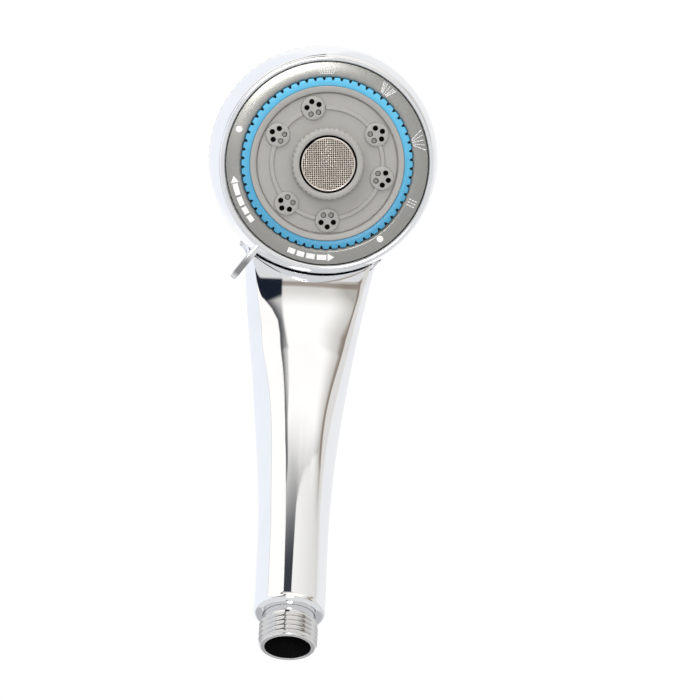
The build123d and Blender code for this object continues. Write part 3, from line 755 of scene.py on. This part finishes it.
FINE = 0.26
FULL_TURN, CONE_TURN, WIDE_TURN, STREAM_TURN = 97.2, 57.5, 20.3, 341.4
for side in (-1, 1):
    stroke((side * 2.1, -1.9), (side * 3.9, 1.8), FINE, FULL_TURN, 7, 0.2)
    stroke((side * 1.5, -1.9), (side * 2.6, 1.8), FINE, FULL_TURN, 5, 0.25)
for across in (-0.9, -0.3, 0.3, 0.9):
    stroke((across * 0.9, -1.8), (across * 1.25, 1.8), 0.34, FULL_TURN, 6, 0.26)
for lean in (-2, -1, 0, 1, 2):
    stroke((lean * 0.62, -2.0), (lean * 1.45, 2.0), 0.3, CONE_TURN, 5 if abs(lean) < 2 else 2, 0.25)
for lean in (-1.5, 1.5):
    stroke((lean * 0.62, -1.6), (lean * 1.45, 1.8), FINE, CONE_TURN, 5, 0.25)
for lean in (-2, -1, 0, 1, 2):
    stroke((lean * 0.55, -2.3), (lean * 1.95, 2.0), 0.27, WIDE_TURN, 6 if lean % 2 else 3, 0.25)
for across in (-1.1, 0, 1.1):
    stroke((across, -1.7), (across, 1.7), 0.32, STREAM_TURN, 3, 0.28)
bmesh.ops.recalc_face_normals(signs, faces=signs.faces)
piece("dial_signs", signs, [print_white], "body")

# Bezel
# A thin chrome trim ring pressed onto the spray body, which closes the joint between the dial and
# the turning ring.

BEZEL_INNER = 37.45
BEZEL_OUTER = 39.3
BEZEL_SKIRT = 38.05
BEZEL_BACK = -4.6
BEZEL_STEP = -1.25
BEZEL_TOP = 0.7

bezel = spun([
    (BEZEL_INNER, BEZEL_BACK), (BEZEL_SKIRT, BEZEL_BACK), (BEZEL_SKIRT, BEZEL_STEP),
    (BEZEL_OUTER - 0.3, BEZEL_STEP), (BEZEL_OUTER, BEZEL_STEP + 0.3), (BEZEL_OUTER, BEZEL_TOP - 0.8),
    (BEZEL_OUTER - 0.1, BEZEL_TOP - 0.4), (BEZEL_OUTER - 0.35, BEZEL_TOP - 0.12),
    (BEZEL_OUTER - 0.7, BEZEL_TOP), (BEZEL_INNER + 0.7, BEZEL_TOP - 0.02),
    (BEZEL_INNER + 0.35, BEZEL_TOP - 0.2), (BEZEL_INNER + 0.1, BEZEL_TOP - 0.5),
    (BEZEL_INNER, BEZEL_TOP - 0.9),
], 256)
piece("chrome_bezel", bezel, [chrome], "body", ["bezel"])

# Jet ring
# A sky-blue plastic ring with a toothed outer edge. The gaps between the teeth are the outer jets,
# which open onto a black ring behind that is painted as the shade in the channel.

JET_OUTER = 31.42
JET_INNER = 28.45
JET_BACK = -2.4
JET_TOP = 0.3
JETS = 60
JET_STEPS = 20
JET_BITE = 1.1
JET_HALF = 0.56

blue, place = finish("blue_plastic", {"Coat Weight": 0.15, "Coat Roughness": 0.25})
cloud = place.noise(120.0)
# Painted light and shade: the blue is lighter towards the top of the ring and darker towards the bottom, as
# the light falls, with a little cloudy noise
painted_top_light = place.part(2).step(0.145, 0.200) * 0.8 + cloud * 0.2
painted_top_light.blend((0.04, 0.27, 0.48, 1), (0.11, 0.50, 0.76, 1)).to("Base Color")
(cloud * 0.1 + 0.33).to("Roughness")

jets = spun([
    (JET_INNER, JET_BACK), (JET_OUTER, JET_BACK), (JET_OUTER, JET_BACK / 2), (JET_OUTER, JET_TOP - 0.2),
    (JET_OUTER - 0.12, JET_TOP - 0.04), (JET_OUTER - 0.3, JET_TOP), (JET_OUTER - JET_BITE - 0.25, JET_TOP),
    (JET_INNER + 0.25, JET_TOP), (JET_INNER, JET_TOP - 0.15),
], JETS * JET_STEPS)
for vert in jets.verts:
    across = vert.co.xy.length
    if across > JET_OUTER - JET_BITE:
        off = (phase_of(vert, JETS) - 0.5) * 2 * math.pi * JET_OUTER / JETS
        dip = JET_BITE * max(0, 1 - (off / JET_HALF)**2)**0.5
        vert.co.xy *= min(across, JET_OUTER - dip + (across - JET_OUTER) * 0.4) / across
piece("blue_jets", jets, [blue], "body", ["jet_ring"])

CHANNEL_INNER = 29.0
CHANNEL_OUTER = 31.55
CHANNEL_BACK = -1.9
CHANNEL_TOP = -1.5

# Painted shade: a black ring standing for the shade in the channel behind the jets
channel_shade_black = mottled(
    "channel_painted_shade", {}, 200.0, (0.006, 0.006, 0.007), (0.012, 0.012, 0.013), 0.6, 0.2,
)
channel = spun([
    (CHANNEL_INNER, CHANNEL_BACK), (CHANNEL_OUTER, CHANNEL_BACK), (CHANNEL_OUTER, CHANNEL_TOP),
    (CHANNEL_INNER, CHANNEL_TOP),
], 128)
piece("channel_shade", channel, [channel_shade_black], "body")

# Nozzle plate
# A warm grey moulded plate with a raised rim, a raised rib that links six nozzle bosses, and five
# nozzles in each boss. The three outer ones are open, their depths painted black as shade; the two
# inner ones are shallow, with painted shade round their grey floors.

PLATE_HOLE = 11.4
PLATE_OUTER = 28.35
PLATE_BACK = -2.3
PLATE_FIELD = -0.5
PLATE_RIM = 0.6
GROOVE_OUTER = 26.05
GROOVE_INNER = 25.75
GROOVE_FLOOR = PLATE_FIELD - 0.5
FIELD_RADIUS = 25.4
FIELD_STEP = 0.2
FIELD_STEPS = 48
RIB_RADIUS = 20.4
RIB_HALF = 0.6
RIB_SLOPE = 0.45
RIB_HEIGHT = 0.75
BOSS_TOP = 0.45
BOSS_RADIUS = 4.4
BOSS_CIRCLE = 20.9
BOSS_PAIRS = (14.0, 134.0, 254.0)
BOSS_SPREAD = 22.85
NOZZLES = 5
OPEN_NOZZLES = (0, 1, 4)
NOZZLE_CIRCLE = 2.4
NOZZLE_RADIUS = 0.98
NOZZLE_BEVEL = 0.12
OPEN_FLOOR = -2.2
SHALLOW_FLOOR = -0.9

plate_grey, place = finish("plate_plastic", {"Specular IOR Level": 0.45})
grain = place.noise(1500.0, 4.0)
cloud = place.noise(50.0)
cloud.blend((0.345, 0.34, 0.326, 1), (0.38, 0.375, 0.36, 1)).to("Base Color")
(grain * 0.12 + 0.38).to("Roughness")
grain.bump(0.00003).to("Normal")
hole_shade_black = mottled(
    "nozzle_shadow", {"Specular IOR Level": 0.1}, 400.0, (0.003, 0.003, 0.003), (0.006, 0.006, 0.006),
    0.7, 0.1,
)


def plate_height(radius):
    """The plate's front at a radius: a flat field with one low rounded rib."""
    off = share_of(abs(radius - RIB_RADIUS), RIB_HALF, RIB_HALF + RIB_SLOPE)
    return PLATE_FIELD + RIB_HEIGHT * (1 + math.cos(math.pi * off)) / 2


outline = [
    (PLATE_HOLE, PLATE_BACK), (PLATE_OUTER, PLATE_BACK), (PLATE_OUTER, PLATE_RIM - 0.25),
    (PLATE_OUTER - 0.25, PLATE_RIM), (GROOVE_OUTER + 0.45, PLATE_RIM), (GROOVE_OUTER + 0.15, PLATE_RIM - 0.2),
    (GROOVE_OUTER, GROOVE_FLOOR), (GROOVE_INNER, GROOVE_FLOOR), (GROOVE_INNER - 0.15, PLATE_FIELD),
]
field = [FIELD_RADIUS - FIELD_STEP * step for step in range(FIELD_STEPS)]
outline += [(radius, plate_height(radius)) for radius in field]
outline += [(PLATE_HOLE, PLATE_FIELD)]
plate = spun(outline, 256)
boss_turns = [math.radians(pair + side) for pair in BOSS_PAIRS for side in (-BOSS_SPREAD, BOSS_SPREAD)]
for vert in plate.verts:
    for turn in boss_turns:
        spot = Vector((BOSS_CIRCLE * math.cos(turn), BOSS_CIRCLE * math.sin(turn)))
        if (vert.co.xy - spot).length < BOSS_RADIUS - 0.25 and vert.co.z > PLATE_BACK + 0.3:
            vert.co.z = PLATE_BACK + 0.05


def nozzle_boss(turn):
    """One raised boss with its five nozzles, at a turn in radians round the plate."""
    bm = bmesh.new()
    rim = bmesh.ops.create_circle(bm, segments=48, radius=BOSS_RADIUS - 0.35)["verts"]
    holes = []
    for number in range(NOZZLES):
        angle = 2 * math.pi * number / NOZZLES
        spot = Matrix.Translation((NOZZLE_CIRCLE * math.cos(angle), NOZZLE_CIRCLE * math.sin(angle), 0))
        hole = bmesh.ops.create_circle(bm, segments=24, radius=NOZZLE_RADIUS + NOZZLE_BEVEL, matrix=spot)
        holes.append((number in OPEN_NOZZLES, spot.translation.copy(), hole["verts"]))
    bmesh.ops.triangle_fill(
        bm, use_beauty=True, use_dissolve=False, edges=list(bm.edges), normal=(0, 0, 1),
    )
    for through, spot, hole in holes:
        edges = [e for e in bm.edges if e.verts[0] in hole and e.verts[1] in hole]
        floor = OPEN_FLOOR if through else SHALLOW_FLOOR
        levels = ((NOZZLE_RADIUS, -NOZZLE_BEVEL), (NOZZLE_RADIUS, floor + 0.1), (NOZZLE_RADIUS - 0.22, floor))
        for size, depth in levels:
            edges, verts, faces = extruded(bm, edges)
            for vert in verts:
                way = (vert.co.xy - spot.xy).normalized()
                vert.co.xy = spot.xy + way * size
                vert.co.z = depth
            # The nozzles' walls and the open nozzles' floors take the painted shade
            for face in faces:
                face.material_index = 1 if depth < -NOZZLE_BEVEL else 0
        for face in bmesh.ops.edgeloop_fill(bm, edges=edges)["faces"]:
            face.material_index = 1 if through else 0
    edges = [e for e in bm.edges if e.verts[0] in rim and e.verts[1] in rim]
    for radius, depth in ((BOSS_RADIUS - 0.12, -0.1), (BOSS_RADIUS, -0.32), (BOSS_RADIUS + 0.05, -1.1)):
        edges, verts = extruded(bm, edges)[:2]
        for vert in verts:
            vert.co.xy = vert.co.xy.normalized() * radius
            vert.co.z = depth
    bmesh.ops.recalc_face_normals(bm, faces=bm.faces)
    placed = Matrix.Rotation(turn, 4, "Z") @ Matrix.Translation((BOSS_CIRCLE, 0, BOSS_TOP))
    bmesh.ops.transform(bm, matrix=placed, verts=bm.verts)
    return bm


for turn in boss_turns:
    absorb(plate, nozzle_boss(turn))
piece("spray_plate", plate, [plate_grey, hole_shade_black], "body", ["nozzle_plate"])

# Aerator collar
# A grey moulded collar in the middle of the plate, with small flutes round its edge to turn it by.
# Its bore is painted black as shade, so that the cup stands in a dark gap.

COLLAR_RADIUS = 13.2
COLLAR_BORE = 10.6
COLLAR_NECK = 11.3
COLLAR_BACK = -2.0
COLLAR_TOP = 4.3
FLUTES = 40
FLUTE_STEPS = 10
FLUTE_BITE = 0.38
FLUTE_REACH = 0.6

collar = spun([
    (COLLAR_BORE, COLLAR_BACK), (COLLAR_NECK - 0.05, COLLAR_BACK), (COLLAR_NECK, PLATE_FIELD),
    (COLLAR_RADIUS, PLATE_FIELD), (COLLAR_RADIUS, 0.4), (COLLAR_RADIUS, 2.4),
    (COLLAR_RADIUS, COLLAR_TOP - 0.9), (COLLAR_RADIUS - 0.1, COLLAR_TOP - 0.55),
    (COLLAR_RADIUS - 0.4, COLLAR_TOP - 0.2), (COLLAR_RADIUS - 0.85, COLLAR_TOP),
    (COLLAR_BORE + 0.35, COLLAR_TOP), (COLLAR_BORE + 0.1, COLLAR_TOP - 0.15),
    (COLLAR_BORE, COLLAR_TOP - 0.4),
], FLUTES * FLUTE_STEPS)
for vert in collar.verts:
    across = vert.co.xy.length
    if across > COLLAR_RADIUS - FLUTE_REACH:
        dip = FLUTE_BITE * max(0, math.cos((phase_of(vert, FLUTES) - 0.5) * 2 * math.pi))
        vert.co.xy *= (across - dip * min(1, (across - COLLAR_RADIUS + FLUTE_REACH) / 0.45)) / across
# The collar's bore takes the painted shade
for face in collar.faces:
    centre = face.calc_center_median()
    face.material_index = 1 if centre.xy.length < COLLAR_BORE + 0.05 and centre.z < COLLAR_TOP - 0.5 else 0
piece("fluted_collar", collar, [plate_grey, hole_shade_black], "body", ["aerator_collar"])

# Aerator cup and mesh
# A bright metal cup holds a round of woven wire in front of the diffuser, with a dark gap round it.
# Each wire runs in waves over and under the wires that cross it.

CUP_RADIUS = 9.95
CUP_BACK = 0.2
CUP_TOP = 4.3
MESH_RADIUS = 9.3
MESH_FRONT = 3.75
MESH_TURN = math.radians(8)
WIRE_PITCH = 0.79
WIRE_RADIUS = 0.2
WIRE_SIDES = 6
WIRE_WAVE = WIRE_RADIUS * 0.95

warm_steel, _ = plated("warm_steel", (0.82, 0.75, 0.70), 0.12)
cup = spun([
    (MESH_RADIUS, CUP_BACK), (CUP_RADIUS, CUP_BACK), (CUP_RADIUS, CUP_TOP - 0.4),
    (CUP_RADIUS - 0.1, CUP_TOP - 0.1), (CUP_RADIUS - 0.35, CUP_TOP + 0.02), (MESH_RADIUS + 0.2, CUP_TOP),
    (MESH_RADIUS, CUP_TOP - 0.2),
], 128)
piece("mesh_cup", cup, [warm_steel], "body", ["aerator_cup"])

mesh_wire = mottled(
    "mesh_wire", {"Metallic": 1.0}, 700.0, (0.74, 0.68, 0.62), (0.86, 0.81, 0.75), 0.22, 0.2,
)

weave = bmesh.new()
count = int(MESH_RADIUS / WIRE_PITCH)
for across in (0, 1):
    for number in range(-count, count + 1):
        offset = number * WIRE_PITCH
        reach = math.sqrt(max(0, MESH_RADIUS**2 - offset**2)) + 0.05
        steps = max(2, int(2 * reach / (WIRE_PITCH / 2)))
        start = bmesh.ops.create_circle(
            weave, segments=WIRE_SIDES, radius=WIRE_RADIUS,
            matrix=Matrix.Translation((-reach, offset, 0)) @ Matrix.Rotation(math.pi / 2, 4, "Y"),
        )["verts"]
        strand = list(start)
        edges = [e for e in weave.edges if e.verts[0] in start]
        for _ in range(steps):
            edges, moved = extruded(weave, edges)[:2]
            bmesh.ops.translate(weave, vec=(2 * reach / steps, 0, 0), verts=moved)
            strand += moved
        over = 1 if (number + across) % 2 else -1
        for vert in strand:
            vert.co.z += math.cos(math.pi * vert.co.x / WIRE_PITCH) * over * WIRE_WAVE
        if across:
            bmesh.ops.rotate(weave, cent=(0, 0, 0), matrix=Matrix.Rotation(math.pi / 2, 3, "Z"), verts=strand)
bmesh.ops.recalc_face_normals(weave, faces=weave.faces)
bmesh.ops.rotate(weave, cent=(0, 0, 0), matrix=Matrix.Rotation(MESH_TURN, 3, "Z"), verts=weave.verts)
bmesh.ops.translate(weave, vec=(0, 0, MESH_FRONT), verts=weave.verts)
piece("woven_mesh", weave, [mesh_wire], "body", ["mesh_screen"])

# Inner pieces
# Seals, screws, the water tube, the valve and the spray body are inside and hardly show. Each has
# the finish of its own stuff: pale moulded plastic, black rubber or plain steel. What stands in the
# bores is painted black as shade, as it looks from outside.

IN_THE_DARK = ("inlet_strainer", "flow_regulator", "regulator_ring", "aerator_core")

inner_white = mottled("inner_plastic", {}, 90.0, (0.70, 0.70, 0.68), (0.76, 0.76, 0.74), 0.4, 0.15)
rubber = mottled("black_rubber", {}, 300.0, (0.012, 0.012, 0.012), (0.03, 0.03, 0.03), 0.6, 0.15)
plain_steel, _ = plated("plain_steel", (0.55, 0.55, 0.56), 0.2)
inner = {"inner_plastic": inner_white, "black_rubber": rubber, "steel": plain_steel, "mesh_steel": mesh_wire}
for subpart in frame["record"]["subparts"]:
    name = subpart["node"]
    node = frame["nodes"][name]
    if not node.hide_render or name in IN_THE_DARK:
        shown = bore_shade_black if name in IN_THE_DARK else inner.get(subpart["material_slot"], chrome)
        node.data.materials.clear()
        node.data.materials.append(shown)

# Setting
# A pale floor far below, a soft white room with the darker shapes that the plating mirrors, and the
# camera at the photograph's place. Places in the room are bearings from the front and heights, in degrees.

CAMERA_TURN = math.radians(-7.6)
CAMERA_RISE = math.radians(-32.9)
CAMERA_ROLL = math.radians(2.2)
CAMERA_FAR = 1500.0
CAMERA_AIM = Vector((18.2, 0, 127.7))
SENSOR_WIDTH = 36
FOCAL_PIXELS = 4041
PICTURE_PIXELS = 700

level = math.cos(CAMERA_RISE)
back = Vector((math.sin(CAMERA_TURN) * level, -math.cos(CAMERA_TURN) * level, math.sin(CAMERA_RISE)))
right = Vector((math.cos(CAMERA_TURN), math.sin(CAMERA_TURN), 0))
up = back.cross(right)
rolled_right = right * math.cos(CAMERA_ROLL) + up * math.sin(CAMERA_ROLL)
rolled_up = up * math.cos(CAMERA_ROLL) - right * math.sin(CAMERA_ROLL)
lens = bpy.data.cameras.new("camera")
lens.lens = FOCAL_PIXELS / PICTURE_PIXELS * SENSOR_WIDTH
lens.sensor_width = SENSOR_WIDTH
lens.clip_end = 50
camera = bpy.data.objects.new("camera", lens)
camera.matrix_world = (
    Matrix.Translation((CAMERA_AIM + back * CAMERA_FAR) * MM)
    @ Matrix((rolled_right, rolled_up, back)).transposed().to_4x4()
)
bpy.context.scene.collection.objects.link(camera)
bpy.context.scene.camera = camera

FLOOR_HALF = 1.6
FLOOR_HEIGHT = -1.4

floor_mesh = bmesh.new()
bmesh.ops.create_grid(floor_mesh, x_segments=1, y_segments=1, size=FLOOR_HALF)
bmesh.ops.translate(floor_mesh, vec=(0, 0, FLOOR_HEIGHT), verts=floor_mesh.verts)
floor_data = bpy.data.meshes.new("floor")
floor_mesh.to_mesh(floor_data)
floor_mesh.free()
floor_paint, place = finish("floor_paint", {"Roughness": 0.8})
place.noise(3.0).blend((0.85, 0.85, 0.85, 1), (0.87, 0.87, 0.87, 1)).to("Base Color")
floor_data.materials.append(floor_paint)
floor = bpy.data.objects.new("floor", floor_data)
bpy.context.scene.collection.objects.link(floor)
floor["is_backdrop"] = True

world = bpy.data.worlds.new("studio")
bpy.context.scene.world = world
world.use_nodes = True
tree = world.node_tree
background = tree.nodes["Background"]
sight = Flow(tree, tree.nodes.new("ShaderNodeTexCoord").outputs["Generated"])
bearing = sight.math("ARCTAN2", sight.part(0), sight.part(1) * -1.0) * (180 / math.pi)
height = sight.math("ARCSINE", sight.part(2)) * (180 / math.pi)


def band(value, low, high, soft_low, soft_high):
    """1 inside a band of angles and 0 outside it, with its own softness at each edge."""
    return value.step(low - soft_low, low + soft_low) * (1 - value.step(high - soft_high, high + soft_high))


def inside(value, edge, soft):
    """1 where a value has passed an edge, going soft over a few degrees."""
    return (value - edge).step(-soft, soft)


def beyond(start, full):
    """1 where the room is farther round to the back than a bearing, on either side."""
    return bearing.step(start, full).most(1 - bearing.step(-full, -start))


# Edges in the room: the dark shape's two sides, the right side of the grey shape below it and its
# curved top, and the brown and thin lines at the sides

dark_left = height.along([
    (-12, -66), (-9, -65), (-6, -60), (-3, -51), (-1.3, -44), (0.5, -39), (2.7, -36), (6.4, -31.5),
    (13.7, -26), (23, -25), (31.7, -26.5), (32.4, -33), (33.8, -38), (35.7, -37), (36.5, -34), (38, -29),
    (40, -27),
])
dark_right = height.along([
    (-12, -20), (5, -20.5), (12, -20), (22, -18), (32.5, -16), (33, -20), (33.5, -28), (34.4, -30), (40, -30),
])
grey_right = height.along([(33.5, 62), (35.5, 36), (36.4, 9), (36.8, 0), (38.2, -3), (45, -5)])
grey_top = bearing.along([(-40, 33.6), (-30, 34.3), (-10, 35.4), (6, 35.9), (25, 35.4), (52, 33.8), (70, 32)])
brown_line = height.along([
    (-10, 58), (0, 66), (7.7, 61), (20, 55.5), (28.6, 58), (30.2, 62), (33.8, 74), (36, 85),
])
thin_line = height.along([(0, -62), (15, -56), (25, -68), (30, -80), (34.2, -88), (37, -84)])

# Shares of the room that each shape covers

front = inside(height, -11.0, 0.8)
past_dark_left = inside(bearing, dark_left, 0.8)
patch = past_dark_left * inside(dark_right, bearing, 1.2) * front
patch = patch * (1 - (height + bearing * 0.25).step(-8, -2))
streak = past_dark_left * inside(dark_right, bearing, 2.0) * height.step(-5, 0)
streak = streak * (0.95 - (bearing - dark_left).step(-1, 14) * 0.5) * (1 - height.step(35.5, 36.5))
wedge = past_dark_left * inside(grey_right, bearing, 0.8) * (height - grey_top).step(-1.1, 1.0)
wedge = wedge * (height.step(35, 38) * 0.65 + 0.32)
top_line = band(height, -9.6, -6.8, 0.5, 0.8) * band(bearing, -60, 66, 3, 3)
side_line = band(bearing - brown_line, -7.0, 3.0, 4.0, 2.0) * front * (1 - height.step(33, 35))
left_line = band(bearing - thin_line, -0.7, 0.7, 0.5, 0.5) * front
past_brown = inside(bearing, brown_line, 1.0)
side_wall = past_brown * (1 - bearing.step(86, 94)) * front
near_top = (1 - height.step(-6, 7)) * inside(bearing, -20.0, 1.0) * front
near_line = (bearing - brown_line).step(-40, -2) * (1 - past_brown) * front
lower_right = height.step(34, 36.5) * inside(bearing, grey_right, 1.0) * (1 - bearing.step(96, 108))
paper = bearing.step(86, 94).most(1 - inside(bearing, thin_line, 1.0))
low_behind = beyond(120, 150) * (1 - height.step(-22, -4))
glare = band(bearing, -14, 3, 5, 3) * band(height, -31, -18, 4, 4)

# The room's colours, laid over one another in this order

WARM_WHITE = (1.14, 1.11, 1.06, 1)
COOL_PAPER = (0.95, 0.97, 1.01, 1)
GREY_PAPER = (0.91, 0.91, 0.915, 1)
TAUPE = (0.50, 0.475, 0.43, 1)
STONE = (0.70, 0.685, 0.65, 1)
CREAM = (0.90, 0.88, 0.84, 1)
BEIGE = (0.74, 0.715, 0.68, 1)
PALE_GREY = (0.78, 0.78, 0.78, 1)
BROWN = (0.22, 0.16, 0.12, 1)
NIGHT_BLUE = (0.012, 0.016, 0.028, 1)
BACK_WHITE = (1.03, 1.03, 1.03, 1)
BACK_GREY = (0.50, 0.50, 0.51, 1)
GLARE = (11.0, 10.8, 10.5, 1)

shade = paper.blend(WARM_WHITE, bearing.step(-10, 10).blend(COOL_PAPER, GREY_PAPER))
for share, colour in (
    (near_top * 0.6 + near_line * 0.8, TAUPE),
    (lower_right * bearing.step(-10, 80), STONE),
    (lower_right * 0.6, CREAM),
    (side_wall * 0.85, BEIGE),
    (1 - front, PALE_GREY),
    ((top_line * 0.7).most(side_line * 0.8).most(left_line * 0.5), BROWN),
    (patch.most(streak).most(wedge), NIGHT_BLUE),
    (beyond(156, 165), BACK_WHITE),
    (low_behind, BACK_GREY),
    (glare, GLARE),
):
    shade = share.blend(shade, colour)
tree.links.new(shade.socket, background.inputs["Color"])
background.inputs["Strength"].default_value = 1.0

for name, spot, size, power in (
    ("key_light", (-0.20, -0.395, 0.228), 0.2, 0.48),
    ("top_light", (-0.02, -0.30, 0.36), 0.15, 0.3),
):
    lamp = bpy.data.lights.new(name, "AREA")
    lamp.size = size
    lamp.energy = power
    light = bpy.data.objects.new(name, lamp)
    light.location = spot
    light.rotation_mode = "QUATERNION"
    light.rotation_quaternion = (FACE_CENTRE * MM - Vector(spot)).to_track_quat("-Z", "Y")
    light.visible_glossy = False
    bpy.context.scene.collection.objects.link(light)

bpy.context.scene.view_settings.view_transform = "Standard"
bpy.context.scene.view_settings.look = "None"

low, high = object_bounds()
